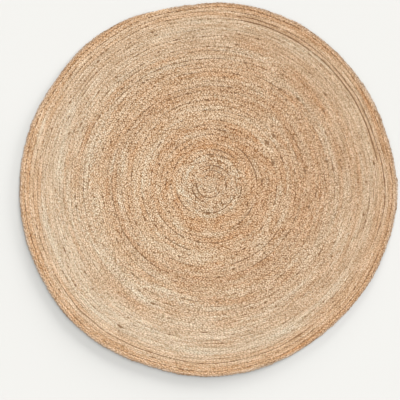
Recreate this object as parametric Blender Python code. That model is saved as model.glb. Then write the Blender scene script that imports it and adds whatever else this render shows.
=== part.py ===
"""Round jute rug: one flat braid, coiled round its own start and sewn edge to edge.

The coil winds outwards clockwise, as seen from above. Each turn is a low rib, the seam between
two turns is a groove, and the rim follows the hand-made outline. The underside is flat.
"""
import math

import bmesh
import bpy
import numpy as np
from mathutils import Vector
from mathutils.geometry import delaunay_2d_cdt

# Every length below is in millimetres, and every bearing in degrees, anticlockwise from +X.
MM = 0.001

RIDGE_HEIGHT = 10.0  # top of a turn above the floor
GROOVE_HEIGHT = 6.5  # bottom of the seam between two turns
SHOULDER_HEIGHT = 8.0  # where the outermost turn starts to fall away to the rim
SHOULDER_INSET = 2.5  # and how far inside the rim that is
RIM_HEIGHT = 4.5  # where the rim stands out furthest
RIM_UNDERCUT = 2.5  # how far the rim draws in from there to the floor

MEAN_REACH = 899.0  # from the coil's centre to the rim, on average
MIDDLE = (-12.0, -18.0)  # the rug's middle, seen from the coil's centre

# Where the rim bulges out or, with a minus sign, runs flatter than a circle.
RIM_BULGES = (
    # bearing, outwards, spread
    (17.0, -4.0, 5.0),
    (61.0, 4.0, 9.0),
    (99.0, -16.0, 9.0),
    (130.0, 5.0, 8.0),
    (146.0, -6.0, 5.0),
    (192.0, 2.0, 6.0),
    (224.0, 10.0, 11.0),
    (253.0, -6.0, 6.0),
    (270.0, 2.0, 5.0),
    (308.0, -12.0, 14.0),
    (356.0, 12.0, 8.0),
)

# The braid starts narrow, lies loose and wide in the middle of the rug, is drawn tighter
# further out, and ends with one wide turn at the rim.
TURN_WIDTHS = (
    # distance from the coil's centre, width of a turn
    (0.0, 12.7),
    (16.0, 22.1),
    (110.0, 24.9),
    (320.0, 23.3),
    (510.0, 23.2),
    (600.0, 21.4),
    (670.0, 18.3),
    (760.0, 16.5),
    (840.0, 19.0),
    (868.0, 19.0),
    (873.0, 25.4),
    (960.0, 25.4),
)

END_BEARING = 103.0  # where the braid's outer end lies
END_TAPER = 26.0  # degrees of the rim over which that end narrows to nothing
NARROWEST_RIB = 8.0  # the tapered end has no rib of its own below this width
ROUND_SHARE = 0.35  # turns within this share of the reach are round; the rim's shape fades in

# How many straight steps go round one turn, by the turn's distance from the coil's centre.
STEPS_PER_TURN = (
    # up to this distance, steps
    (40.0, 12),
    (130.0, 24),
    (360.0, 36),
    (640.0, 48),
    (860.0, 60),
    (2000.0, 90),
)

JUTE_COLOUR = (0.60, 0.41, 0.255, 1.0)
JUTE_ROUGHNESS = 0.9
SMOOTH_UP_TO = 60.0  # edges that turn more than this look sharp

TABLE_STEP = 1.0  # spacing of the sums that add up the turns
TAPER_TURNS = END_TAPER / 360.0
FIRST_SEAM_TURN = 0.25  # the seam starts a quarter of a turn after the braid does
CLOSE_ENOUGH = 1e-6


def smooth_step(x):
    """Rises from 0 to 1 with level ends."""
    x = min(max(x, 0.0), 1.0)
    return x * x * (3.0 - 2.0 * x)


def rim_reach(bearing):
    """The rim's distance from the coil's centre at a bearing."""
    angle = math.radians(bearing)
    reach = MEAN_REACH + MIDDLE[0] * math.cos(angle) + MIDDLE[1] * math.sin(angle)
    for centre, outwards, spread in RIM_BULGES:
        away = (bearing - centre + 180.0) % 360.0 - 180.0
        reach += outwards * math.exp(-0.5 * (away / spread) ** 2)
    return reach


def spiral_table():
    """Distances from the coil's centre, and how many turns the seam has made at each."""
    reach = np.arange(0.0, MEAN_REACH + 60.0, TABLE_STEP)
    known = np.array(TURN_WIDTHS)
    per_step = TABLE_STEP / np.interp(reach, known[:, 0], known[:, 1])
    turns = np.concatenate(([0.0], np.cumsum(0.5 * (per_step[1:] + per_step[:-1]))))
    return reach, turns


REACHES, TURNS = spiral_table()
LAST_WIDTH = float(np.interp(MEAN_REACH, *np.array(TURN_WIDTHS).T))
ALL_TURNS = float(np.interp(MEAN_REACH - LAST_WIDTH / 2.0, REACHES, TURNS))


def bearing_at(turn):
    return END_BEARING + 360.0 * (ALL_TURNS - turn)


def round_seam(turn):
    """The seam's distance from the centre after so many turns, were the rug quite round."""
    if turn <= ALL_TURNS:
        return float(np.interp(turn, TURNS, REACHES))
    inner = float(np.interp(turn - 1.0, TURNS, REACHES))
    full = float(np.interp(turn, TURNS, REACHES))
    return inner + (full - inner) * smooth_step((ALL_TURNS + 1.0 - turn) / TAPER_TURNS)


def seam(turn):
    """The seam's distance from the centre, with the rim's shape faded in towards the rim."""
    bearing = bearing_at(turn)
    round_rim = round_seam(ALL_TURNS + (turn - ALL_TURNS) % 1.0)
    reach = round_seam(turn)
    share = (reach / round_rim - ROUND_SHARE) / (1.0 - ROUND_SHARE)
    return reach * (1.0 + (rim_reach(bearing) / round_rim - 1.0) * smooth_step(share))


def turn_width(turn):
    return seam(turn + 1.0) - seam(turn)


def place(turn, reach):
    angle = math.radians(bearing_at(turn))
    return Vector((reach * math.cos(angle), reach * math.sin(angle)))


def walk(first_turn, last_turn):
    """The turns at which a line of the coil gets a point, from the middle outwards."""
    turns = []
    turn = first_turn
    while turn < last_turn - CLOSE_ENOUGH:
        turns.append(turn)
        steps = next(count for reach, count in STEPS_PER_TURN if seam(turn) <= reach)
        turn = (math.floor(turn * steps + CLOSE_ENOUGH) + 1.0) / steps
    return turns


def seam_line():
    """The groove between two turns, which ends where the outermost turn gets narrow."""
    turns = walk(FIRST_SEAM_TURN, ALL_TURNS)
    return [place(turn, seam(turn)) for turn in turns if turn_width(turn) > NARROWEST_RIB]


def ridge_line():
    """The top of the braid, half-way between the seams on its two sides."""
    turns = walk(0.0, ALL_TURNS)
    return [
        place(turn, (seam(turn) + seam(turn + 1.0)) / 2.0)
        for turn in turns
        if turn_width(turn) > NARROWEST_RIB
    ]


def rim_loop(inset):
    turns = walk(ALL_TURNS, ALL_TURNS + 1.0)
    return [place(turn, seam(turn) - inset) for turn in turns]


class Plan:
    """The points and lines of the rug as seen from above, with a height for each point."""

    def __init__(self):
        self.points = []
        self.heights = []
        self.lines = []

    def add_line(self, points, height, closed=False):
        start = len(self.points)
        count = len(points)
        self.points.extend(points)
        self.heights.extend([height] * count)
        self.lines.extend((start + i, start + i + 1) for i in range(count - 1))
        if closed:
            self.lines.append((start + count - 1, start))


def rug_plan():
    plan = Plan()
    plan.add_line(rim_loop(0.0), RIM_HEIGHT, closed=True)
    plan.add_line(rim_loop(SHOULDER_INSET), SHOULDER_HEIGHT, closed=True)
    plan.add_line(seam_line(), GROOVE_HEIGHT)
    plan.add_line(ridge_line(), RIDGE_HEIGHT)
    return plan


def add_top(mesh, plan):
    """Fills the plan with triangles that keep to its lines, each point at its own height."""
    inside_lines = 1
    points, _, faces, sources, _, _ = delaunay_2d_cdt(
        plan.points, plan.lines, [], inside_lines, CLOSE_ENOUGH
    )
    verts = []
    for point, source in zip(points, sources):
        verts.append(mesh.verts.new((point.x, point.y, plan.heights[source[0]])))
    for face in faces:
        mesh.faces.new([verts[i] for i in face])


def add_underside(mesh):
    """Draws the rim in to the floor and closes it with one flat face."""
    rim = [edge for edge in mesh.edges if edge.is_boundary]
    lowered = bmesh.ops.extrude_edge_only(mesh, edges=rim)["geom"]
    bottom = [item for item in lowered if isinstance(item, bmesh.types.BMVert)]
    for vert in bottom:
        outwards = Vector((vert.co.x, vert.co.y, 0.0)).normalized()
        vert.co -= outwards * RIM_UNDERCUT
        vert.co.z = 0.0
    floor_edges = [item for item in lowered if isinstance(item, bmesh.types.BMEdge)]
    floor_edges = [edge for edge in floor_edges if edge.is_boundary]
    bmesh.ops.contextual_create(mesh, geom=floor_edges)


def centre_on_origin(mesh):
    """Puts the middle of the rug's length and width on the origin and turns it to metres."""
    xs = [vert.co.x for vert in mesh.verts]
    ys = [vert.co.y for vert in mesh.verts]
    middle = Vector(((min(xs) + max(xs)) / 2.0, (min(ys) + max(ys)) / 2.0, 0.0))
    for vert in mesh.verts:
        vert.co = (vert.co - middle) * MM


def jute_material():
    material = bpy.data.materials.new("jute")
    material.use_nodes = True
    shader = material.node_tree.nodes["Principled BSDF"]
    shader.inputs["Base Color"].default_value = JUTE_COLOUR
    shader.inputs["Roughness"].default_value = JUTE_ROUGHNESS
    shader.inputs["Metallic"].default_value = 0.0
    material.diffuse_color = JUTE_COLOUR
    return material


def make_rug():
    mesh = bmesh.new()
    add_top(mesh, rug_plan())
    add_underside(mesh)
    centre_on_origin(mesh)
    bmesh.ops.recalc_face_normals(mesh, faces=mesh.faces)
    data = bpy.data.meshes.new("rug")
    mesh.to_mesh(data)
    mesh.free()
    data.materials.append(jute_material())
    data.shade_smooth()
    data.set_sharp_from_angle(angle=math.radians(SMOOTH_UP_TO))
    rug = bpy.data.objects.new("rug", data)
    bpy.context.scene.collection.objects.link(rug)


def clear_scene():
    for item in list(bpy.data.objects):
        bpy.data.objects.remove(item, do_unlink=True)


clear_scene()
make_rug()
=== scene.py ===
import math
from collections import namedtuple

import bpy
import numpy as np
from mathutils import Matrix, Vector


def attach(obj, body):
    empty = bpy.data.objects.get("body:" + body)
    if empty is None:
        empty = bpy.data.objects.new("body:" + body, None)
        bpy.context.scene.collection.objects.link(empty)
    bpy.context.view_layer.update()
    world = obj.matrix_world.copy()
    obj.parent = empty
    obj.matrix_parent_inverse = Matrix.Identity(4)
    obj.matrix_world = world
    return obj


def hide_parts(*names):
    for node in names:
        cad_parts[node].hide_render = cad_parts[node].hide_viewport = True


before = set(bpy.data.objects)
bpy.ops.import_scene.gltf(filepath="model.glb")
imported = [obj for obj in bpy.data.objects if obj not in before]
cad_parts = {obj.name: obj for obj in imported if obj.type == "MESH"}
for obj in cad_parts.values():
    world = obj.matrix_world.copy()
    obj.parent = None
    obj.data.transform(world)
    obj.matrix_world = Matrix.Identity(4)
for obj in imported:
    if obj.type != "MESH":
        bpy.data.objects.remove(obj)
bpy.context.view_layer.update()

MM = 0.001
SEED = 20
UP = (0.0, 0.0, 1.0)
CLOSE_ENOUGH = 1e-6

# ---- the coil, as in the CAD model

MEAN_REACH = 899.0  # from the coil's centre to the rim, on average
MIDDLE = (-12.0, -18.0)  # the rug's middle, seen from the coil's centre

# Where the rim bulges out or, with a minus sign, runs flatter than a circle.
RIM_BULGES = (
    # bearing, outwards, spread
    (17.0, -4.0, 5.0),
    (61.0, 4.0, 9.0),
    (99.0, -16.0, 9.0),
    (130.0, 5.0, 8.0),
    (146.0, -6.0, 5.0),
    (192.0, 2.0, 6.0),
    (224.0, 10.0, 11.0),
    (253.0, -6.0, 6.0),
    (270.0, 2.0, 5.0),
    (308.0, -12.0, 14.0),
    (356.0, 12.0, 8.0),
)

# The braid starts narrow, lies loose and wide in the middle of the rug, is drawn tighter
# further out, and ends with one wide turn at the rim.
TURN_WIDTHS = (
    # distance from the coil's centre, width of a turn
    (0.0, 12.7),
    (16.0, 22.1),
    (110.0, 24.9),
    (320.0, 23.3),
    (510.0, 23.2),
    (600.0, 21.4),
    (670.0, 18.3),
    (760.0, 16.5),
    (840.0, 19.0),
    (868.0, 19.0),
    (873.0, 25.4),
    (960.0, 25.4),
)
END_BEARING = 103.0  # where the braid's outer end lies
END_TAPER = 26.0  # degrees of the rim over which that end narrows to nothing
ROUND_SHARE = 0.35  # turns within this share of the reach are round; the rim's shape fades in
TABLE_STEP = 1.0  # spacing of the sums that add up the turns
TAPER_TURNS = END_TAPER / 360.0
TABLE_SPARE = 60.0  # how far beyond the mean reach those sums go
OUTLINE_STEPS = 720

# ---- the braid

START_TURN = -0.6  # the braid's inner end is turned in, inside the first whole turn
END_WIDTH = 2.0  # its outer end stops where the taper has got this narrow
END_TUCK = 3.0  # and is tucked in against the turn inside it
FINE_STEPS = 400  # steps to a turn where the braid's length is added up
PLAIT_LENGTHS = (
    # distance from the coil's centre, widths of the braid after which a strand is back
    (0.0, 1.95),
    (600.0, 1.95),
    (700.0, 2.5),
    (960.0, 2.5),
)
SHORTEST_PLAIT = 17.0
STRANDS = 3
RINGS_PER_PLAIT = 8
SIDES = 5  # points in each ring round a strand
PIECES = 12
CUT_RINGS = 3.0  # a cut between two pieces lies so many rings into a plait

WEAVE_REACH = 0.312  # how far a strand swings to each side, in widths of the braid
WEAVE_MIDDLE = 5.1  # height of the braid's middle above the floor
WEAVE_RISE = 2.15  # how far a strand rises above that and sinks below it
LOWEST = 0.2  # the floor presses the underside flat
STRAND_HALF_WIDTH = 0.225  # in widths of the braid
STRAND_HALF_HEIGHT = 2.45
EDGE_NARROWING = 0.17  # a strand stands on its edge where it folds over at the braid's side,
EDGE_RAISING = 0.55  # so it gets narrower and taller there by these shares
EDGE_POWER = 3  # the higher, the shorter the fold
THIN_BELOW = 15.0  # where the braid is narrower than this, its strands get thinner,
THINNEST = 0.3  # down to this share

# How a strand varies along its length: how much, and over what distance.
SWING_VARIES = (0.04, 45.0)  # as a share
RISE_VARIES = (0.06, 60.0)  # as a share
SIDE_VARIES = (0.018, 25.0)  # in widths of the braid
HEIGHT_VARIES = (0.18, 70.0)
WIDTH_VARIES = (0.07, 60.0)  # as a share
THICKNESS_VARIES = (0.06, 40.0)  # as a share

# Random curves are drawn longer than what they are read for.
SPARE_LENGTH = 6000.0  # along the seams
STRAND_SPARE = 1.5  # along a strand, in lengths of the braid
TONE_SPARE = 1.1  # for the tones of the whole braid, in lengths of a strand

# ---- the seams between the turns

SEAM_WANDER = 1.1  # how far hand sewing lets a seam wander
WANDER_SPACING = 80.0
CALM_TURNS = 1.5  # the first turns wander less
SEAM_PRESS = (0.25, 0.12)  # share of a turn that is sewn into the next: in the middle, at the rim
SEAM_EASE = 0.8  # and how much that varies along the seam
EASE_SPACING = 130.0
HOLE_WIDTH = 13.0  # short holes are left along the seams, where the stitches pull
HOLE_LEVEL = 1.0  # the higher, the fewer
HOLE_SPACING = 13.0
FEW_HOLES = (500.0, 680.0, 0.45)  # between these distances the holes shrink to this share
RIM_WANDER = 1.0  # how far the braid's outer side wanders at the rim
RIM_SPACING = 32.0
NARROW_BELOW = 14.0  # where the braid is narrower than this, its seams wander and gape less

# Where the seam between two turns gapes. The seam's turn is that of the turn outside it.
GAPING_SEAMS = (
    # from turn, to turn, how wide
    (1.52, 2.04, 1.3),
    (2.25, 2.33, 2.0),
    (2.70, 3.14, 2.4),
    (3.30, 3.50, 1.8),
    (3.55, 3.66, 2.2),
    (3.90, 4.10, 2.8),
    (4.40, 4.54, 1.8),
    (5.68, 5.88, 2.0),
    (6.34, 6.46, 2.6),
    (6.62, 6.68, 2.0),
    (6.97, 7.08, 2.2),
    (7.37, 7.48, 2.2),
    (9.47, 9.59, 2.8),
    (9.68, 9.77, 2.2),
    (11.94, 12.03, 1.8),
    (13.91, 13.98, 2.0),
    (16.70, 16.82, 2.0),
    (19.95, 20.08, 1.2),
    (26.22, 26.31, 1.8),
    (37.39, 37.58, 5.2),
    (38.39, 38.66, 3.4),
    (38.76, 39.03, 3.2),
    (40.20, 41.25, 0.8),
)
GAPE_TAPER = 0.03  # turns over which a gap opens and closes
GAPE_PRESS = 2.1  # strands bulge into the gap from both sides
GAPE_ROUGHNESS = 1.2  # by more in some places and less in others

# ---- jute colours

JUTE = (0.716, 0.520, 0.348)  # linear, of a jute bundle of middling shade
WARM_FALL = (0.03, 0.10, 0.17)  # what one step of warmth takes from red, green and blue

# Darker jute is browner, too: how much red, green and blue take part in a change of lightness.
BUNDLE_SHARES = (0.57, 1.0, 1.42)  # from one bundle to the next
GRAIN_SHARES = (0.93, 1.0, 1.08)  # and in the grain of one

# Shades of the bundles that were braided in, one after the other.
ZONES = (
    # distance from the coil's centre, warmth, lightness, contrast of the grain
    (0.0, -0.85, 0.965, 0.85),
    (35.0, -0.58, 0.855, 1.00),
    (45.0, 0.20, 0.945, 1.15),
    (95.0, 0.25, 0.945, 1.15),
    (135.0, 0.05, 1.065, 1.15),
    (160.0, 0.85, 0.995, 1.00),
    (270.0, 1.00, 1.005, 1.00),
    (330.0, 0.48, 1.055, 1.00),
    (370.0, 0.40, 1.020, 0.97),
    (415.0, 0.25, 0.985, 0.97),
    (465.0, -0.10, 0.865, 0.97),
    (510.0, 0.70, 1.030, 0.97),
    (580.0, -0.30, 0.980, 0.92),
    (655.0, -0.15, 0.980, 0.82),
    (700.0, -0.40, 0.975, 0.72),
    (735.0, -0.97, 0.952, 0.62),
    (795.0, -1.15, 0.953, 0.60),
    (812.0, -0.35, 0.950, 0.58),
    (832.0, 0.50, 1.035, 0.58),
)
LAST_TURNS = (
    # the turns at the rim are of golden-orange jute: turns from the end, warmth, lightness
    (1.95, 0.68, 1.000),
    (0.97, 1.15, 0.992),
)
TAKE_OVER = 0.012  # turns over which that jute takes over
RIM_SHADE = (0.76, 0.82, 0.94)  # painted shade on the rim's outer side, where it slopes away: what red, green and blue keep
RIM_FROM = -0.1  # from this share of the last turn's half width outwards
RIM_BLEND = 0.5  # and over this share of it

PAINTED_LIGHT_BEARING = 208.0  # painted light: the rug is a little paler on this side, as if lit more from there, and darker opposite
PAINTED_LIGHT_SHARE = 0.075  # by this share of its lightness,
PAINTED_LIGHT_MIDDLE = 0.5  # in the rug's middle by this share of that,
PAINTED_LIGHT_FROM = 0.7  # and in full from this share of the turns outwards

STAIN_CELLS = 30  # stains of browner jute lie along the turns: so many around the rug
STAIN_WIDTH = 17.0  # and so wide
STAIN_WARMTH = 0.45
STAINS = (
    # distance from the coil's centre, how much lightness varies
    (0.0, 0.02),
    (150.0, 0.038),
    (400.0, 0.030),
    (640.0, 0.022),
    (740.0, 0.012),
    (900.0, 0.018),
)
BUNDLE_LENGTHS = (700.0, 2600.0)  # shortest and longest bundle of jute in a strand
BUNDLE_BLEND = 60.0  # half the length over which one blends into the next
BUNDLE_WARMTH = 0.2  # how much the bundles differ
BUNDLE_LIGHTNESS = (0.02, 0.03)  # in the middle of the rug and at its rim
TURN_WARMTH = 0.2  # how much longer stretches of the whole braid differ
TURN_LIGHTNESS = 0.015
TURN_SPACING = 900.0
HOLLOW_SHADE = 0.93  # painted shade: a strand is this much darker where it dips under the others
HOLLOW_UP_TO = 0.8  # less so towards this share of the braid's height
SEAM_SHADE = 0.48  # painted shade: the jute is darker and browner in short dashes along the seams
SEAM_FROM = 0.78  # from this share of the braid's half width outwards
SEAM_BLEND = 0.25  # and over this share of it
DASH_SPACING = 16.0
DASH_LEVEL = 0.85  # the higher, the fewer dashes
DASH_BLEND = 0.8


def smooth_step(x):
    """Rises from 0 to 1 with level ends."""
    x = np.clip(x, 0.0, 1.0)
    return x * x * (3.0 - 2.0 * x)


def within(span, share):
    """The place at this share of the way from a span's start to its end."""
    return span[0] + (span[1] - span[0]) * share


def unit(vectors):
    """The vectors, each made one long."""
    return vectors / np.linalg.norm(vectors, axis=-1, keepdims=True)


def around(sides):
    """Angles of the points of a ring, the first of them on top."""
    return math.pi / 2.0 + 2.0 * math.pi * np.arange(sides) / sides


def rim_reach(bearing):
    """The rim's distance from the coil's centre at a bearing."""
    angle = np.radians(bearing)
    reach = MEAN_REACH + MIDDLE[0] * np.cos(angle) + MIDDLE[1] * np.sin(angle)
    for centre, outwards, spread in RIM_BULGES:
        away = (bearing - centre + 180.0) % 360.0 - 180.0
        reach = reach + outwards * np.exp(-0.5 * (away / spread) ** 2)
    return reach


def spiral_table():
    """Distances from the coil's centre, and how many turns the seam has made at each."""
    reach = np.arange(0.0, MEAN_REACH + TABLE_SPARE, TABLE_STEP)
    known = np.array(TURN_WIDTHS)
    per_step = TABLE_STEP / np.interp(reach, known[:, 0], known[:, 1])
    turns = np.concatenate(([0.0], np.cumsum(0.5 * (per_step[1:] + per_step[:-1]))))
    return reach, turns


REACHES, TURNS = spiral_table()
LAST_WIDTH = float(np.interp(MEAN_REACH, *np.array(TURN_WIDTHS).T))
ALL_TURNS = float(np.interp(MEAN_REACH - LAST_WIDTH / 2.0, REACHES, TURNS))


def bearing_at(turn):
    return END_BEARING + 360.0 * (ALL_TURNS - turn)


def round_seam(turn):
    """The seam's distance from the centre after so many turns, were the rug quite round."""
    full = np.interp(turn, TURNS, REACHES)
    inner = np.interp(turn - 1.0, TURNS, REACHES)
    tapered = inner + (full - inner) * smooth_step((ALL_TURNS + 1.0 - turn) / TAPER_TURNS)
    return np.where(turn <= ALL_TURNS, full, tapered)


def seam(turn):
    """The seam's distance from the centre, with the rim's shape faded in towards the rim."""
    round_rim = round_seam(ALL_TURNS + (turn - ALL_TURNS) % 1.0)
    reach = round_seam(turn)
    share = (reach / round_rim - ROUND_SHARE) / (1.0 - ROUND_SHARE)
    stretch = rim_reach(bearing_at(turn)) / round_rim - 1.0
    return reach * (1.0 + stretch * smooth_step(share))


def on_plan(turn, reach):
    """x and y, from the coil's centre, of points at these turns and distances."""
    angle = np.radians(bearing_at(turn))
    return np.stack((reach * np.cos(angle), reach * np.sin(angle)), axis=-1)


def rug_middle():
    """Middle of the outline's length and width, which is the frame's origin."""
    turn = np.linspace(ALL_TURNS, ALL_TURNS + 1.0, OUTLINE_STEPS + 1)
    outline = on_plan(turn, seam(turn))
    return (outline.min(axis=0) + outline.max(axis=0)) / 2.0


ORIGIN = rug_middle()


def lengths_along(points):
    """Length of a line from its first point to each of its points."""
    steps = np.linalg.norm(np.diff(points, axis=0), axis=1)
    return np.concatenate(([0.0], np.cumsum(steps)))


def wave(rng, reach, spacing):
    """A smooth random curve of about unit height, for positions from 0 to reach."""
    knots = rng.standard_normal(int(reach / spacing) + 3)
    just_inside = len(knots) - 1.001

    def height(position):
        place = np.clip(position / spacing, 0.0, just_inside)
        low = place.astype(int)
        share = smooth_step(place - low)
        return knots[low] * (1.0 - share) + knots[low + 1] * share

    return height


def patches(rng, reach):
    """A random level for each bundle of jute along a strand, blended where they overlap."""
    ends = np.cumsum(rng.uniform(*BUNDLE_LENGTHS, int(reach / BUNDLE_LENGTHS[0]) + 2))
    levels = rng.standard_normal(len(ends) + 1)
    places = np.stack((ends - BUNDLE_BLEND, ends + BUNDLE_BLEND), axis=1).ravel()
    values = np.stack((levels[:-1], levels[1:]), axis=1).ravel()

    def level(position):
        return np.interp(position, places, values)

    return level


def stains(rng):
    """A smooth random surface over the rug, with its hills drawn out along the turns."""
    rows = int(2.0 * MEAN_REACH / STAIN_WIDTH)
    levels = rng.standard_normal((rows, STAIN_CELLS))
    starts = rng.uniform(0.0, STAIN_CELLS, rows)

    def along_row(row, bearing):
        place = (bearing / 360.0 * STAIN_CELLS + starts[row]) % STAIN_CELLS
        low = place.astype(int) % STAIN_CELLS
        share = smooth_step(place - np.floor(place))
        return levels[row, low] * (1.0 - share) + levels[row, (low + 1) % STAIN_CELLS] * share

    def level(bearing, reach):
        row = (reach / STAIN_WIDTH).astype(int)
        share = smooth_step(reach / STAIN_WIDTH - row)
        return along_row(row, bearing) * (1.0 - share) + along_row(row + 1, bearing) * share

    return level


class Braid:
    """The coiled braid's middle line, and where a strand's plait has got to along it."""

    def __init__(self, rng):
        self.turns = np.arange(START_TURN, ALL_TURNS - CLOSE_ENOUGH, 1.0 / FINE_STEPS)
        middle, width = self.middle_and_width(self.turns)
        self.rough_length = lengths_along(on_plan(self.turns, middle))
        reach = self.rough_length[-1] + SPARE_LENGTH
        self.wander = wave(rng, reach, WANDER_SPACING)
        self.ease = wave(rng, reach, EASE_SPACING)
        self.holes = wave(rng, reach, HOLE_SPACING)
        self.dashes = wave(rng, reach, DASH_SPACING)
        self.rim_wander = wave(rng, reach, RIM_SPACING)
        count = np.nonzero(width > END_WIDTH)[0][-1] + 1
        self.turns = self.turns[:count]
        self.rough_length = self.rough_length[:count]
        self.add_up()

    def add_up(self):
        """Adds up the braid's length as it was laid, and its plaits."""
        middle, width = self.laid(self.turns)
        self.length = lengths_along(on_plan(self.turns, middle))
        plait = np.interp(middle, *np.array(PLAIT_LENGTHS).T) * width
        plait = np.maximum(plait, SHORTEST_PLAIT)
        step = np.diff(self.length) / (0.5 * (plait[1:] + plait[:-1]))
        self.plaits = np.concatenate(([0.0], np.cumsum(step)))

    @staticmethod
    def middle_and_width(turn):
        inner = seam(np.maximum(turn, 0.0))
        outer = seam(turn + 1.0)
        return (inner + outer) / 2.0, outer - inner

    def place(self, turn):
        """The braid's length up to this turn, were its seams not to wander."""
        return np.interp(turn, self.turns, self.rough_length)

    def seam_shift(self, turn):
        """How far the seam at this turn was sewn off its line."""
        return SEAM_WANDER * self.wander(self.place(turn)) * smooth_step(turn / CALM_TURNS)

    def half_gap(self, turn):
        """Half the gap along the seam at this turn. It is less than nothing where two turns
        are pressed into each other."""
        place = self.place(turn)
        press = np.interp(turn, (0.0, ALL_TURNS), SEAM_PRESS) * self.middle_and_width(turn)[1]
        gap = SEAM_EASE * self.ease(place) - press
        near, far, share = FEW_HOLES
        hole = HOLE_WIDTH * np.interp(seam(np.maximum(turn, 0.0)), (near, far), (1.0, share))
        gap = gap + hole * np.maximum(self.holes(place) - HOLE_LEVEL, 0.0)
        rough = GAPE_ROUGHNESS * self.dashes(place) - GAPE_PRESS
        for first, last, wide in GAPING_SEAMS:
            inside = smooth_step((turn - first) / GAPE_TAPER + 0.5)
            inside = inside * smooth_step((last - turn) / GAPE_TAPER + 0.5)
            gap = gap + (wide + rough - gap) * inside
        return gap / 2.0

    def laid(self, turn):
        """Middle and width of the braid, with the seams on its two sides wandering."""
        middle, width = self.middle_and_width(turn)
        inner = self.seam_shift(turn) + self.half_gap(turn)
        outer = self.seam_shift(turn + 1.0) - self.half_gap(turn + 1.0)
        rim = RIM_WANDER * self.rim_wander(self.place(turn))
        outer = np.where(turn > ALL_TURNS - 1.0, rim, outer)
        full = smooth_step(width / NARROW_BELOW)
        middle = middle - END_TUCK * (1.0 - full) * (turn > ALL_TURNS / 2.0)
        return middle + (inner + outer) / 2.0 * full, width + (outer - inner) * full


class Strand:
    """Rings of points round one strand of the braid."""

    def __init__(self, braid, number, rng):
        self.number = number
        share = number / STRANDS
        first = math.ceil((braid.plaits[0] + share) * RINGS_PER_PLAIT)
        last = math.floor((braid.plaits[-1] + share) * RINGS_PER_PLAIT)
        self.count = np.arange(first, last + 1)
        plait = self.count / RINGS_PER_PLAIT
        self.phase = 2.0 * math.pi * (plait % 1.0)
        self.turn = np.interp(plait - share, braid.plaits, braid.turns)
        self.middle, self.width = braid.laid(self.turn)
        self.along = np.interp(self.turn, braid.turns, braid.length)
        self.dashes = [braid.dashes(braid.place(self.turn + more)) for more in (0.0, 1.0)]
        self.reach = braid.length[-1] * STRAND_SPARE
        self.weave(rng)
        self.points, self.section, self.aside = self.rings()

    def uneven(self, varies, rng):
        """A random curve along the strand, at each of its rings."""
        size, spacing = varies
        return size * wave(rng, self.reach, spacing)(self.along)

    def weave(self, rng):
        """Swings the strand from side to side and up and down, and gives it its thickness."""
        line = on_plan(self.turn, self.middle)
        ahead = unit(np.gradient(line, axis=0))
        outwards = np.stack((-ahead[:, 1], ahead[:, 0]), axis=1)
        outwards *= np.sign(np.sum(outwards * line, axis=1, keepdims=True))
        thick = THINNEST + (1.0 - THINNEST) * smooth_step(self.width / THIN_BELOW)
        swing = WEAVE_REACH * self.width * (1.0 + self.uneven(SWING_VARIES, rng))
        rise = WEAVE_RISE * thick * (1.0 + self.uneven(RISE_VARIES, rng))
        side = swing * np.sin(self.phase) + self.width * self.uneven(SIDE_VARIES, rng)
        height = WEAVE_MIDDLE * thick + rise * np.sin(2.0 * self.phase)
        height += self.uneven(HEIGHT_VARIES, rng)
        self.centre = np.column_stack((line + outwards * side[:, None], height))
        self.length = lengths_along(self.centre)
        edge = np.abs(np.sin(self.phase)) ** EDGE_POWER
        self.half_width = STRAND_HALF_WIDTH * self.width * (1.0 - EDGE_NARROWING * edge)
        self.half_width *= 1.0 + self.uneven(WIDTH_VARIES, rng)
        self.half_height = STRAND_HALF_HEIGHT * thick * (1.0 + EDGE_RAISING * edge)
        self.half_height *= 1.0 + self.uneven(THICKNESS_VARIES, rng)

    def rings(self):
        """The strand's surface: count × SIDES points, each one's place in the section, and how
        far it lies towards the braid's sides."""
        ahead = unit(np.gradient(self.centre, axis=0))
        side = unit(np.cross(ahead, UP))
        up = np.cross(side, ahead)
        angle = around(SIDES)
        across = self.half_width[:, None] * np.cos(angle)
        above = self.half_height[:, None] * np.sin(angle)
        points = self.centre[:, None, :] + across[..., None] * side[:, None, :]
        points = points + above[..., None] * up[:, None, :]
        points[..., 2] = np.maximum(points[..., 2], LOWEST)
        reach = np.hypot(points[..., 0], points[..., 1])
        aside = (reach - self.middle[:, None]) / (self.width[:, None] / 2.0)
        return points, np.stack((across, above), axis=-1), aside


# ---- colour along the strands


def zone_shade(turn):
    """Warmth, lightness and grain of the jute that was braided in at these turns."""
    known = np.array(ZONES)
    distance = np.interp(turn + 0.5, TURNS, REACHES)
    warmth, lightness, grain = (np.interp(distance, known[:, 0], known[:, n]) for n in (1, 2, 3))
    for back, warm, light in LAST_TURNS:
        taken = smooth_step((turn - (ALL_TURNS - back)) / TAKE_OVER)
        warmth = warmth + (warm - warmth) * taken
        lightness = lightness + (light - lightness) * taken
    return warmth, lightness, grain


def varied(colour, lightness, shares):
    """The colours, made paler where lightness is over 1 and browner where it is less."""
    return colour * (1.0 + (lightness[..., None] - 1.0) * np.array(shares))


def painted_light_side(turn):
    """What multiplies the lightness, as painted light: over 1 on the side lit more, and under 1
    opposite.
    """
    away = np.radians(bearing_at(turn) - PAINTED_LIGHT_BEARING)
    out = smooth_step(turn / (PAINTED_LIGHT_FROM * ALL_TURNS))
    return 1.0 + PAINTED_LIGHT_SHARE * within((PAINTED_LIGHT_MIDDLE, 1.0), out) * np.cos(away)


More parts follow.
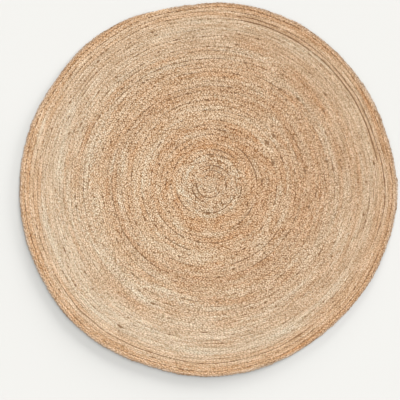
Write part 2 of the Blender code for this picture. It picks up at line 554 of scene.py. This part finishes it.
def strand_tint(strand, warm_tone, light_tone, stain, rng):
    """Colour of each ring of a strand, and the contrast of its grain. All three strands share
    the tones of the braid and the stains across it."""
    reach = strand.length[-1] + 1.0
    warmth, lightness, grain = zone_shade(strand.turn)
    warmth = warmth + TURN_WARMTH * warm_tone(strand.length)
    warmth = warmth + BUNDLE_WARMTH * patches(rng, reach)(strand.length)
    lightness = lightness * (1.0 + TURN_LIGHTNESS * light_tone(strand.length))
    here = stain(bearing_at(strand.turn), np.hypot(strand.centre[:, 0], strand.centre[:, 1]))
    warmth = warmth + STAIN_WARMTH * here
    lightness = lightness * (1.0 - np.interp(strand.middle, *np.array(STAINS).T) * here)
    contrast = np.interp(strand.turn, (0.0, ALL_TURNS), BUNDLE_LIGHTNESS)
    lightness = lightness * (1.0 + contrast * patches(rng, reach)(strand.length))
    # painted light: paler on one side of the rug, darker on the other
    lightness = lightness * painted_light_side(strand.turn)
    colour = np.array(JUTE) * (1.0 - np.array(WARM_FALL) * warmth[:, None])
    return np.column_stack((varied(colour, lightness, BUNDLE_SHARES), grain))


def seam_shade(strand, part):
    """How much of its lightness each point keeps, with painted shade in dark dashes along the
    seams.
    """
    shade = 1.0
    for side, dashes in zip((-1.0, 1.0), strand.dashes):
        near = smooth_step((side * strand.aside[part] - SEAM_FROM) / SEAM_BLEND)
        dark = smooth_step((dashes[part, None] - DASH_LEVEL) / DASH_BLEND)
        shade = shade * (1.0 - (1.0 - SEAM_SHADE) * near * dark)
    return shade


def ring_tint(strand, shade, part):
    """Colour of each point of a part of the strand's rings, and the contrast of its grain."""
    aside = strand.aside[part]
    # painted shade: darker where a strand dips under the others, browner by BUNDLE_SHARES
    lift = (strand.section[part, :, 1] + strand.centre[part, None, 2]) / (2.0 * WEAVE_MIDDLE)
    dim = HOLLOW_SHADE + (1.0 - HOLLOW_SHADE) * smooth_step(lift / HOLLOW_UP_TO)
    # painted shade in dark dashes along the seams between turns
    dim = dim * seam_shade(strand, part)
    colour = varied(shade[part, None, :3], dim, BUNDLE_SHARES)
    # painted shade on the outer side of the last turn
    rim = smooth_step((aside - RIM_FROM) / RIM_BLEND)
    rim = rim * (strand.turn[part, None] > ALL_TURNS - 1.0)
    colour = colour * (1.0 - rim[..., None] * (1.0 - np.array(RIM_SHADE)))
    grain = np.broadcast_to(shade[part, None, 3:], (*aside.shape, 1))
    return np.concatenate((colour, grain), axis=2).reshape(-1, 4)


# ---- meshes

STRANDS_APART = 200000.0  # how far apart the strands read the pattern of their fibres
ROW_SHAPE = 3.4  # steps in each row of a map of tubes, for each of its rows
ROW_SPAN = (0.04, 0.96)  # the part of a row that a tube takes up
CAP_CORNERS = ((0.0, 0.0), (0.002, 0.0), (0.003, 0.002), (0.001, 0.003), (0.0, 0.002))


def new_piece(name, points, faces, material):
    """A smooth mesh that rides on the rug's body. Points are in millimetres."""
    data = bpy.data.meshes.new(name)
    data.from_pydata((points * MM).tolist(), [], faces)
    data.shade_smooth()
    data.materials.append(material)
    piece = bpy.data.objects.new(name, data)
    bpy.context.scene.collection.objects.link(piece)
    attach(piece, "root")
    return piece


def add_attribute(data, name, kind, field, values):
    layer = data.attributes.new(name, kind, "POINT")
    layer.data.foreach_set(field, np.ascontiguousarray(values, dtype=np.float32).ravel())


def add_pattern(data, tint, fibre, lane):
    """What the material reads at each point: its colour and grain, its place in its strand and
    its place in the braid."""
    add_attribute(data, "tint", "FLOAT_COLOR", "color", tint)
    add_attribute(data, "fibre", "FLOAT_VECTOR", "vector", fibre)
    add_attribute(data, "lane", "FLOAT_VECTOR", "vector", lane)


def add_map(data, corners):
    """The map that the looks are baked to, with a place for each corner of each face."""
    layer = data.uv_layers.new(name="OFBake")
    layer.uv.foreach_set("vector", corners.astype(np.float32).ravel())


def tube_faces(rings, sides):
    """Quads of an open tube, seen from outside, as indices of its points."""
    here = np.arange(rings - 1)[:, None] * sides
    side = np.arange(sides)[None, :]
    after = (side + 1) % sides
    quads = (here + side, here + sides + side, here + sides + after, here + after)
    return np.stack(quads, axis=-1).reshape(-1, 4)


def strip_map(steps, sides):
    """A map for tubes laid out straight: rows of equal length, with a gap between rows."""
    rows = max(int(round(math.sqrt(steps / ROW_SHAPE))), 1)
    per_row = math.ceil(steps / rows)
    row, column = np.divmod(np.arange(steps), per_row)
    side = np.arange(sides)
    low = (row[:, None] + within(ROW_SPAN, side / sides)) / rows
    high = (row[:, None] + within(ROW_SPAN, (side + 1) / sides)) / rows
    left = np.broadcast_to(column[:, None] / per_row, low.shape)
    right = np.broadcast_to((column[:, None] + 1) / per_row, low.shape)
    corners = ((left, low), (right, low), (right, high), (left, high))
    return np.stack([np.stack(pair, axis=-1) for pair in corners], axis=2).reshape(-1, 2)


def sharpen_caps(data, quads):
    """Keeps the closed ends from bending the strand's shading."""
    edges = {tuple(sorted(key)) for face in data.polygons[quads:] for key in face.edge_keys}
    sharp = np.fromiter((tuple(sorted(e.vertices)) in edges for e in data.edges), bool)
    layer = data.attributes.new("sharp_edge", "BOOLEAN", "EDGE")
    layer.data.foreach_set("value", sharp)


def ring_range(strand, first_plait, last_plait):
    """Which of the strand's rings lie between two places along the braid."""
    shift = strand.number * RINGS_PER_PLAIT / STRANDS
    ends = np.array((first_plait, last_plait)) * RINGS_PER_PLAIT + shift
    low, high = np.searchsorted(strand.count, ends)
    return slice(low, min(high + 1, len(strand.count)))


def ring_places(strand, part):
    """Each point's place along the strand and in its section, and along and across the braid."""
    section, aside = strand.section[part], strand.aside[part]
    length = strand.length[part, None] + STRANDS_APART * strand.number
    length = np.broadcast_to(length, aside.shape)
    fibre = np.stack((length, section[..., 0], section[..., 1]), axis=-1)
    along = np.broadcast_to(strand.along[part, None], aside.shape)
    across = aside * strand.width[part, None] / 2.0
    lane = np.stack((along, across, np.zeros_like(across)), axis=-1)
    return fibre.reshape(-1, 3), lane.reshape(-1, 3)


def braid_piece(name, strands, tints, first_plait, last_plait, material):
    """All three strands of the braid between two places along it, with their ends closed."""
    points, quads, caps, tint, fibre, lane = [], [], [], [], [], []
    start, steps = 0, 0
    for strand, shade in zip(strands, tints):
        part = ring_range(strand, first_plait, last_plait)
        count = part.stop - part.start
        points.append(strand.points[part].reshape(-1, 3))
        quads.append(tube_faces(count, SIDES) + start)
        end = start + (count - 1) * SIDES
        caps.append([start + i for i in range(SIDES)])
        caps.append([end + i for i in reversed(range(SIDES))])
        tint.append(ring_tint(strand, shade, part))
        in_strand, in_braid = ring_places(strand, part)
        fibre.append(in_strand)
        lane.append(in_braid)
        start += count * SIDES
        steps += count - 1
    points = np.concatenate(points)
    points[:, :2] -= ORIGIN
    quads = np.concatenate(quads)
    piece = new_piece(name, points, quads.tolist() + caps, material)
    add_pattern(piece.data, *(np.concatenate(values) for values in (tint, fibre, lane)))
    cap_corners = np.tile(CAP_CORNERS, (len(caps), 1))
    add_map(piece.data, np.concatenate((strip_map(steps, SIDES), cap_corners)))
    sharpen_caps(piece.data, len(quads))
    return piece


# ---- the layer inside the braid

CORE_STEPS = 72  # to a turn
CORE_INSET = 4.0  # from the rim
CORE_BOTTOM = 2.0
CORE_SEAM_HEIGHT = 4.0
CORE_RIDGE_HEIGHT = 5.4
CORE_SEAMS = int((ALL_TURNS + 1.0) * CORE_STEPS)  # points along the seams
CORE_RIDGES = CORE_SEAMS - CORE_STEPS  # and along the ridges between them


def core_points():
    """Points along the seams, along the ridges between them, and round the underside."""
    turns = ALL_TURNS + 1.0 - np.arange(CORE_SEAMS, -1, -1) / CORE_STEPS
    outline = seam(ALL_TURNS + (turns - ALL_TURNS) % 1.0)
    reach = np.minimum(seam(turns), outline - CORE_INSET)
    seams = on_plan(turns, reach)[:CORE_SEAMS]
    middle = (reach[:CORE_RIDGES] + reach[CORE_STEPS:CORE_SEAMS]) / 2.0
    ridges = on_plan(turns[:CORE_RIDGES], middle)
    bottom = seams[CORE_RIDGES:]
    lines = ((seams, CORE_SEAM_HEIGHT), (ridges, CORE_RIDGE_HEIGHT), (bottom, CORE_BOTTOM))
    return np.array([(x, y, height) for line, height in lines for x, y in line - ORIGIN])


def seam_point(i):
    """Index of a seam's point. Beyond the last turn it is the rim's."""
    return i if i < CORE_SEAMS else i - CORE_STEPS


def ridge_point(i):
    return CORE_SEAMS + i if i < CORE_RIDGES else seam_point(i)


def core_faces():
    """A fan in the middle, two rows of faces from each turn to the next, rim and underside."""
    faces = [(0, i + 1, i) for i in range(1, CORE_STEPS)]
    for i in range(CORE_RIDGES):
        inner = (seam_point(i), seam_point(i + 1))
        middle = (ridge_point(i), ridge_point(i + 1))
        outer = (seam_point(i + CORE_STEPS), seam_point(i + CORE_STEPS + 1))
        for (a, b), (c, d) in ((inner, middle), (middle, outer)):
            corners = (a, b, d, c)
            faces.append([v for n, v in enumerate(corners) if v != corners[n - 1]])
    under = [CORE_SEAMS + CORE_RIDGES + n for n in range(CORE_STEPS)]
    for n in range(CORE_STEPS):
        rim = (seam_point(CORE_RIDGES + n), seam_point(CORE_RIDGES + n + 1))
        faces.append((*rim, under[(n + 1) % CORE_STEPS], under[n]))
    faces.append(under)
    return faces


def core_piece(material):
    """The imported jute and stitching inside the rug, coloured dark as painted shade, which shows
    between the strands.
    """
    return new_piece("rug_core", core_points(), core_faces(), material)


# ---- stray fibres

# Loose fibres: how many, how far they turn and bend (radians), and from shortest to longest or
# lowest to highest their length, and the height of their middle and of their end over the root.
Fibres = namedtuple("Fibres", "count stray lengths lifts end_lifts")
TOP_FIBRES = Fibres(2000, 0.5, (9.0, 30.0), (1.0, 4.0), (-1.0, 2.2))
RIM_FIBRES = Fibres(420, 0.6, (3.0, 13.0), (-1.0, 2.0), (-4.0, 2.5))
RISEN = 0.3  # those on top start where a strand has risen by over this share of its rise
SWUNG_OUT = 0.7  # and those at the rim where it has swung out by over this share of its swing
ROOT_DEPTH = 0.5  # roots on top lie this deep in the strand
ROOT_SHARE = 0.8  # and those at the rim this share of its half width outwards
LOWEST_END = 1.0  # above the floor
HAIR_RADIUS = 0.2
HAIR_POINTS = 6  # along each, with a point at both ends
HAIR_SIDES = 3
HAIR_SHADES = (0.8, 1.35)  # darkest and palest, as shares of the jute's own colour
PALEST_HAIR = 0.95
TUBE_SPAN = (0.15, 0.85)  # the part of its cell on the map that a hair's tube takes up
TIP_SPAN = (0.05, 0.95)  # with its pointed ends
SIDE_SPAN = (0.1, 0.9)


def picked_rings(fits, count, rng):
    """Some of the rings that fit, but neither the first nor the last of them."""
    return rng.choice(np.nonzero(fits)[0][1:-1], count, replace=False)


def turned(ways, angle):
    """Level directions, turned anticlockwise by an angle each."""
    cos, sin = np.cos(angle), np.sin(angle)
    x, y = ways[:, 0], ways[:, 1]
    return unit(np.stack((x * cos - y * sin, x * sin + y * cos, np.zeros_like(x)), axis=1))


def stray_curves(root, ahead, fibres, rng):
    """Curved lines from the roots, off in these directions: a row of points for each hair."""
    count = len(root)
    half = (rng.uniform(*fibres.lengths, count) / 2.0)[:, None]
    lift = rng.uniform(*fibres.lifts, count)
    end_lift = rng.uniform(*fibres.end_lifts, count)
    bend = rng.normal(0.0, fibres.stray, count)
    middle = root + turned(ahead, bend) * half
    end = middle + turned(ahead, -bend) * half
    middle[:, 2] = root[:, 2] + lift
    end[:, 2] = np.maximum(root[:, 2] + end_lift, LOWEST_END)
    t = np.linspace(0.0, 1.0, HAIR_POINTS)[None, :, None]
    start, middle, end = root[:, None], middle[:, None], end[:, None]
    return start * (1 - t) ** 2 + 2.0 * middle * t * (1 - t) + end * t**2


def top_curves(strands, rng):
    """Hairs that stand off the top of the braid, along the strands and astray from them."""
    roots, ways = [], []
    for strand in strands:
        risen = np.sin(2.0 * strand.phase) > RISEN
        picked = picked_rings(risen, TOP_FIBRES.count // STRANDS, rng)
        roots.append(strand.points[picked, 0])
        ways.append(strand.centre[picked + 1] - strand.centre[picked - 1])
    root = np.concatenate(roots) - np.array(UP) * ROOT_DEPTH
    count = len(root)
    astray = rng.normal(0.0, TOP_FIBRES.stray, count) + math.pi * rng.integers(0, 2, count)
    ahead = turned(unit(np.concatenate(ways)), astray)
    return stray_curves(root, ahead, TOP_FIBRES, rng)


def rim_curves(strands, rng):
    """Hairs that stand off the rim."""
    roots = []
    for strand in strands:
        swung_out = (strand.turn > ALL_TURNS - 1.0) & (np.sin(strand.phase) > SWUNG_OUT)
        picked = picked_rings(swung_out, RIM_FIBRES.count // STRANDS, rng)
        root = strand.centre[picked].copy()
        root[:, :2] += unit(root[:, :2]) * ROOT_SHARE * strand.half_width[picked, None]
        roots.append(root)
    root = np.concatenate(roots)
    ahead = turned(root, rng.normal(0.0, RIM_FIBRES.stray, len(root)))
    return stray_curves(root, ahead, RIM_FIBRES, rng)


def hair_mesh(curves):
    """Thin tubes with pointed ends round the curves: points, then the quads of all the tubes and
    the triangles of all the tips."""
    count = len(curves)
    inner = slice(1, HAIR_POINTS - 1)
    ahead = unit(np.gradient(curves, axis=1))
    side = unit(np.cross(ahead, UP))
    up = np.cross(side, ahead)
    angle = around(HAIR_SIDES)[:, None]
    off = np.cos(angle) * side[:, inner, None] + np.sin(angle) * up[:, inner, None]
    rings = curves[:, inner, None] + HAIR_RADIUS * off
    points = np.concatenate((curves[:, :1], rings.reshape(count, -1, 3), curves[:, -1:]), axis=1)
    per_hair = points.shape[1]
    last = per_hair - 1
    tips = []
    for i in range(HAIR_SIDES):
        after = (i + 1) % HAIR_SIDES
        tips.append((0, 1 + i, 1 + after))
        tips.append((last, last - HAIR_SIDES + after, last - HAIR_SIDES + i))
    starts = np.arange(count)[:, None, None] * per_hair
    quads = (tube_faces(HAIR_POINTS - 2, HAIR_SIDES) + 1 + starts).reshape(-1, 4)
    tips = (np.array(tips) + starts).reshape(-1, 3)
    return points.reshape(-1, 3), quads, tips


def hair_map(count):
    """A map with one small cell for each hair: the quads of all of them, then their tips."""
    cells = math.ceil(math.sqrt(count))
    hair = np.arange(count)
    corner = np.stack((hair % cells, hair // cells), axis=1)[:, None, None] / cells
    steps = HAIR_POINTS - 3
    step, side = np.divmod(np.arange(steps * HAIR_SIDES), HAIR_SIDES)
    left, right = (within(TUBE_SPAN, n / steps) for n in (step, step + 1))
    low, high = (within(SIDE_SPAN, n / HAIR_SIDES) for n in (side, side + 1))
    quads = np.array(((left, low), (right, low), (right, high), (left, high)))
    quads = corner + quads.transpose(2, 0, 1) / cells
    tips = []
    for side in range(HAIR_SIDES):
        low, high = (within(SIDE_SPAN, n / HAIR_SIDES) for n in (side, side + 1))
        for base, tip in zip(TUBE_SPAN, TIP_SPAN):
            tips.append(((tip, (low + high) / 2.0), (base, low), (base, high)))
    tips = corner + np.array(tips) / cells
    return np.concatenate((quads.reshape(-1, 2), tips.reshape(-1, 2)))


def hair_piece(strands, material, rng):
    """Loose ends of fibre that stand off the braid, most of them on top."""
    curves = np.concatenate((top_curves(strands, rng), rim_curves(strands, rng)))
    points, quads, tips = hair_mesh(curves)
    points[:, :2] -= ORIGIN
    piece = new_piece("stray_fibres", points, quads.tolist() + tips.tolist(), material)
    count = len(curves)
    shade = np.array(JUTE) * rng.uniform(*HAIR_SHADES, (count, 1))
    tint = np.column_stack((np.clip(shade, 0.0, PALEST_HAIR), np.ones(count)))
    add_pattern(piece.data, np.repeat(tint, len(points) // count, axis=0), points, points)
    add_map(piece.data, hair_map(count))
    return piece


# ---- materials

# Sizes of the patterns: along a strand, and the two ways across it.
TUFT = (3.0, 2.4, 2.4)  # tufts of fibre on its surface
NUB = (9.6, 7.0, 7.0)  # its nubs, with painted shade in the dark gaps between them
STREAK = (26.0, 0.8, 0.8)  # the fibres themselves
BAND = (160.0, 14.0, 14.0)  # browner bands
FLECK = (9.0, 3.0, 3.0)  # dark flecks of bark
LINE = (130.0, 3.4, 40.0)  # fine lines that run along the braid, and not along a strand

# Between which two of a pattern's levels it goes from its first shade to its second one.
TUFT_LEVELS = (0.10, 0.66)
NUB_LEVELS = (0.35, 0.80)
STREAK_LEVELS = (0.32, 0.68)
BAND_LEVELS = (0.50, 0.70)
FLECK_LEVELS = (0.66, 0.72)
LINE_LEVELS = (0.30, 0.70)

# What the patterns add to the shade.
TUFT_SHADES = (-0.20, 0.06)
# painted light on the nubs' middles and painted shade in the gaps between them
NUB_PAINTED_SHADES = (0.08, -0.46)
STREAK_SHADES = (-0.05, 0.05)
LINE_SHADES = (-0.085, 0.085)
LINE_SHARES = (0.6, 1.0, 1.3, 0.80)  # lines show more where the grain's contrast is weak

NUB_DISORDER = 0.45  # 0 puts the nubs in rows
TUFT_SOFTNESS = 0.05
FIBRE_ROUGHNESS = 0.65  # of the noise that makes the streaks
BROWNER = (0.94, 0.86, 0.76)  # what red, green and blue keep in the browner bands
BAND_SHARE = 0.5
BARK = (0.55, 0.43, 0.32)  # and in flecks of bark
EVEN = 2.2  # a power that turns linear colours into shades that look evenly spaced
PALEST = 0.98  # and the palest such shade
SHEEN = 0.08
SHEEN_ROUGHNESS = 0.5
FIBRE_BUMP = (0.5, 0.0005)  # strength, and height in metres

# painted shade: the packed jute inside is darker than the strands' jute
PACKED_PAINTED_SHADE_DARK = (0.200, 0.110, 0.055, 1.0)
PACKED_PAINTED_SHADE_PALE = (0.380, 0.230, 0.125, 1.0)
PACKED_LEVELS = (0.35, 0.65)
PACKED_SCALE = 260.0  # tangles to a metre
PACKED_BUMP = (0.5, 0.001)


class Nodes:
    """Builds a material node by node."""

    def __init__(self, name, roughness, specular):
        self.material = bpy.data.materials.new(name)
        self.material.use_nodes = True
        self.tree = self.material.node_tree
        self.shader = self.tree.nodes["Principled BSDF"]
        self.shader.inputs["Roughness"].default_value = roughness
        self.shader.inputs["Specular IOR Level"].default_value = specular

    def add(self, kind, settings=(), inputs=()):
        node = self.tree.nodes.new(kind)
        for name, value in dict(settings).items():
            setattr(node, name, value)
        for key, value in dict(inputs).items():
            if isinstance(value, bpy.types.NodeSocket):
                self.tree.links.new(value, node.inputs[key])
            else:
                node.inputs[key].default_value = value
        return node

    def maths(self, operation, *values):
        settings = {"operation": operation}
        return self.add("ShaderNodeMath", settings, enumerate(values)).outputs[0]

    def vector_maths(self, operation, *values):
        settings = {"operation": operation}
        return self.add("ShaderNodeVectorMath", settings, enumerate(values)).outputs[0]

    def attribute(self, name):
        return self.add("ShaderNodeAttribute", {"attribute_name": name})

    def multiplied(self, vector, by):
        return self.vector_maths("MULTIPLY", vector, by)

    def divided(self, vector, by):
        return self.multiplied(vector, tuple(1.0 / size for size in by))

    def noise(self, vector, scale=1.0, detail=2.0, roughness=0.6):
        inputs = {"Vector": vector, "Scale": scale, "Detail": detail, "Roughness": roughness}
        return self.add("ShaderNodeTexNoise", inputs=inputs).outputs[0]

    def tufts(self, vector):
        """A random level for each of many small cells, with soft edges."""
        settings = {"feature": "SMOOTH_F1"}
        inputs = {"Vector": vector, "Scale": 1.0, "Detail": 0.0, "Smoothness": TUFT_SOFTNESS}
        return self.add("ShaderNodeTexVoronoi", settings, inputs).outputs["Color"]

    def nubs(self, vector):
        """Distance from the middle of the nearest of many evenly spread nubs."""
        inputs = {"Vector": vector, "Scale": 1.0, "Detail": 0.0, "Randomness": NUB_DISORDER}
        return self.add("ShaderNodeTexVoronoi", inputs=inputs).outputs["Distance"]

    def between(self, value, low, high, to_low, to_high):
        inputs = enumerate((value, low, high, to_low, to_high))
        return self.add("ShaderNodeMapRange", inputs=inputs).outputs[0]

    def gamma(self, colour, power):
        return self.add("ShaderNodeGamma", inputs={0: colour, 1: power}).outputs[0]

    def shifted(self, colour, shift, shares):
        """The colour, made paler or darker by about the same amount to the eye all over."""
        even = self.gamma(colour, 1.0 / EVEN)
        shade = self.vector_maths("MULTIPLY_ADD", shift, shares, even)
        return self.gamma(self.vector_maths("MINIMUM", shade, (PALEST,) * 3), EVEN)

    def mixed(self, factor, first, second):
        inputs = {0: factor, 6: first, 7: second}
        return self.add("ShaderNodeMix", {"data_type": "RGBA"}, inputs).outputs[2]

    def paint(self, colour):
        self.tree.links.new(colour, self.shader.inputs["Base Color"])

    def bump(self, height, strength, distance):
        inputs = {"Strength": strength, "Distance": distance, "Height": height}
        node = self.add("ShaderNodeBump", inputs=inputs)
        self.tree.links.new(node.outputs[0], self.shader.inputs["Normal"])


def jute_grain(nodes, fibre, lane, streak, contrast):
    """What the tufts, nubs, streaks and lines add to the shade."""
    tufts = nodes.between(nodes.tufts(nodes.divided(fibre, TUFT)), *TUFT_LEVELS, *TUFT_SHADES)
    # nubs: painted light on their middles, painted shade in the gaps between them
    nubs = nodes.between(nodes.nubs(nodes.divided(fibre, NUB)), *NUB_LEVELS, *NUB_PAINTED_SHADES)
    streaks = nodes.between(streak, *STREAK_LEVELS, *STREAK_SHADES)
    lines = nodes.noise(nodes.divided(lane, LINE), detail=1.0)
    lines = nodes.between(lines, *LINE_LEVELS, *LINE_SHADES)
    lines = nodes.maths("MULTIPLY", lines, nodes.between(contrast, *LINE_SHARES))
    grain = nodes.maths("ADD", tufts, nubs)
    return nodes.maths("MULTIPLY_ADD", grain, contrast, nodes.maths("ADD", streaks, lines))


def jute_material():
    """Jute bundles: fine grain in the tint that the mesh gives, with browner bands and bark."""
    nodes = Nodes("jute", roughness=0.85, specular=0.25)
    nodes.shader.inputs["Sheen Weight"].default_value = SHEEN
    nodes.shader.inputs["Sheen Roughness"].default_value = SHEEN_ROUGHNESS
    tint = nodes.attribute("tint")
    fibre = nodes.attribute("fibre").outputs["Vector"]
    lane = nodes.attribute("lane").outputs["Vector"]
    streak = nodes.noise(nodes.divided(fibre, STREAK), roughness=FIBRE_ROUGHNESS)
    band = nodes.noise(nodes.divided(fibre, BAND), detail=1.0)
    fleck = nodes.noise(nodes.divided(fibre, FLECK), detail=1.0)
    shift = jute_grain(nodes, fibre, lane, streak, tint.outputs["Alpha"])
    colour = nodes.shifted(tint.outputs["Color"], shift, GRAIN_SHARES)
    browner = nodes.multiplied(colour, BROWNER)
    colour = nodes.mixed(nodes.between(band, *BAND_LEVELS, 0.0, BAND_SHARE), colour, browner)
    bark = nodes.multiplied(colour, BARK)
    colour = nodes.mixed(nodes.between(fleck, *FLECK_LEVELS, 0.0, 1.0), colour, bark)
    nodes.paint(colour)
    nodes.bump(streak, *FIBRE_BUMP)
    return nodes.material


def painted_shade_core_material():
    """Packed jute, darkened as painted shade between the strands."""
    nodes = Nodes("packed_jute_painted_shade", roughness=0.95, specular=0.1)
    place = nodes.add("ShaderNodeTexCoord").outputs["Object"]
    tangle = nodes.noise(place, scale=PACKED_SCALE, detail=3.0)
    share = nodes.between(tangle, *PACKED_LEVELS, 0.0, 1.0)
    nodes.paint(nodes.mixed(share, PACKED_PAINTED_SHADE_DARK, PACKED_PAINTED_SHADE_PALE))
    nodes.bump(tangle, *PACKED_BUMP)
    return nodes.material


# ---- floor, light and camera

FLOOR_COLOUR = (0.436, 0.432, 0.417, 1.0)
FLOOR_HALF = 30.0  # metres
SKY_COLOUR = (1.0, 1.0, 1.0, 1.0)
SKY_STRENGTH = 0.84

# Suns: far, soft lights. The lower ones reach only the floor, for the long soft shadow of a wide
# light; on the rug they would rake across the braid.
SUNS = (
    # name, bearing, elevation, spread, what it adds on the level as a share of a white sky's
    # light, whether it reaches the rug
    ("key_light", 57.0, 60.0, 25.0, 0.403, True),
    ("slanting_light", 57.0, 24.0, 25.0, 0.26, False),
    ("low_light_1", 38.0, 5.0, 10.0, 0.30, False),
    ("low_light_2", 80.0, 5.0, 10.0, 0.30, False),
)

LENS = 85.0
SENSOR = 36.0
VIEW_WIDTH = 1.914  # metres of floor across the photo
VIEW_MIDDLE = (-0.0414, -0.0483)  # what the camera looks straight down on, in metres
FARTHEST_SEEN = 100.0  # metres


def floor_material():
    nodes = Nodes("floor", roughness=0.9, specular=0.0)
    nodes.shader.inputs["Base Color"].default_value = FLOOR_COLOUR
    return nodes.material


def add_floor():
    data = bpy.data.meshes.new("floor")
    half = FLOOR_HALF
    corners = ((-half, -half, 0.0), (half, -half, 0.0), (half, half, 0.0), (-half, half, 0.0))
    data.from_pydata(corners, [], [(0, 1, 2, 3)])
    data.materials.append(floor_material())
    floor = bpy.data.objects.new("floor", data)
    bpy.context.scene.collection.objects.link(floor)
    return floor


def add_sky():
    world = bpy.data.worlds.new("studio")
    world.use_nodes = True
    background = world.node_tree.nodes["Background"]
    background.inputs["Color"].default_value = SKY_COLOUR
    background.inputs["Strength"].default_value = SKY_STRENGTH
    bpy.context.scene.world = world


def add_sun(name, bearing, elevation, spread, share):
    """A far, soft light that adds this share of a white sky's light to a level floor."""
    bearing, up = math.radians(bearing), math.radians(elevation)
    lamp = bpy.data.lights.new(name, "SUN")
    lamp.energy = math.pi * share / math.sin(up)
    lamp.angle = math.radians(spread)
    towards = Vector((math.cos(bearing), math.sin(bearing), math.tan(up)))
    light = bpy.data.objects.new(name, lamp)
    light.rotation_mode = "QUATERNION"
    light.rotation_quaternion = towards.to_track_quat("Z", "Y")
    bpy.context.scene.collection.objects.link(light)
    return light


def add_suns(floor):
    floor_only = bpy.data.collections.new("lit_for_its_shadow")
    floor_only.objects.link(floor)
    for name, bearing, elevation, spread, share, on_rug in SUNS:
        light = add_sun(name, bearing, elevation, spread, share)
        if not on_rug:
            light.light_linking.receiver_collection = floor_only


def add_camera():
    data = bpy.data.cameras.new("camera")
    data.lens = LENS
    data.sensor_width = SENSOR
    data.clip_end = FARTHEST_SEEN
    camera = bpy.data.objects.new("camera", data)
    camera.location = (*VIEW_MIDDLE, VIEW_WIDTH * LENS / SENSOR)
    bpy.context.scene.collection.objects.link(camera)
    bpy.context.scene.camera = camera


# ---- the whole scene


def cut_places(braid):
    """Where the braid is cut into pieces of about equal length, counted in plaits."""
    lengths = np.linspace(braid.length[0], braid.length[-1], PIECES + 1)
    cuts = np.round(np.interp(lengths, braid.length, braid.plaits)) + CUT_RINGS / RINGS_PER_PLAIT
    cuts[0] = -1.0
    cuts[-1] = braid.plaits[-1] + 1.0
    return cuts


def make_rug():
    rng = np.random.default_rng(SEED)
    braid = Braid(rng)
    strands = [Strand(braid, number, rng) for number in range(STRANDS)]
    reach = strands[0].length[-1] * TONE_SPARE
    warm_tone = wave(rng, reach, TURN_SPACING)
    light_tone = wave(rng, reach, TURN_SPACING)
    stain = stains(rng)
    tints = [strand_tint(strand, warm_tone, light_tone, stain, rng) for strand in strands]
    jute = jute_material()
    core = core_piece(painted_shade_core_material())
    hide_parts("rug")
    cuts = cut_places(braid)
    pieces = [
        braid_piece(f"braid_{n + 1:02d}", strands, tints, cuts[n], cuts[n + 1], jute)
        for n in range(PIECES)
    ]
    pieces.append(hair_piece(strands, jute, rng))


make_rug()
add_sky()
add_suns(add_floor())
add_camera()
bpy.context.scene.view_settings.view_transform = "Standard"
